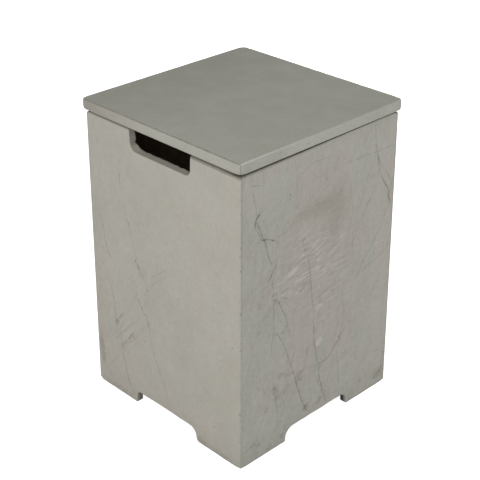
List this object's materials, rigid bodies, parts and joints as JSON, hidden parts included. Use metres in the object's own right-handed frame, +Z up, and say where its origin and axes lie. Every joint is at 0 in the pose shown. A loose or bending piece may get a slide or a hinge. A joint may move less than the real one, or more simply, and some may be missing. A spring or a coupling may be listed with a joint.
{
  "type": "propane tank cover table",
  "caption": "Square cast concrete casing that hides a gas cylinder, with hand notches, arched feet and a loose slab lid that serves as a side table.",
  "frame": {"origin": "on the floor, under the middle of the casing", "axes": "+Z up along the upright middle line of the casing and lid, -Y out of the front wall, which has a hand notch, and +X to the right"},
  "size_m": [0.406, 0.406, 0.604],
  "materials": {
    "casing_concrete": "matte",
    "lid_concrete": "matte",
    "bumper_rubber": "matte",
    "block_plastic": "matte",
    "screw_steel": "satin",
    "plug_nylon": "matte"
  },
  "bodies": {
    "casing": {"cover_body": "casing_concrete"},
    "lid": {"lid_slab": "lid_concrete", "rim_bumper_back_right": "bumper_rubber", "rim_bumper_back_left": "bumper_rubber", "rim_bumper_front_left": "bumper_rubber", "rim_bumper_front_right": "bumper_rubber", "locating_block_back_right": "block_plastic", "locating_block_back_left": "block_plastic", "locating_block_front_left": "block_plastic", "locating_block_front_right": "block_plastic", "block_screws": "screw_steel", "anchor_plugs": "plug_nylon"}
  },
  "joints": [
    {"name": "lid_lift", "type": "slide", "parent": "casing", "child": "lid", "axis": [0, 0, 1], "range_m": [0, 0.3]}
  ]
}
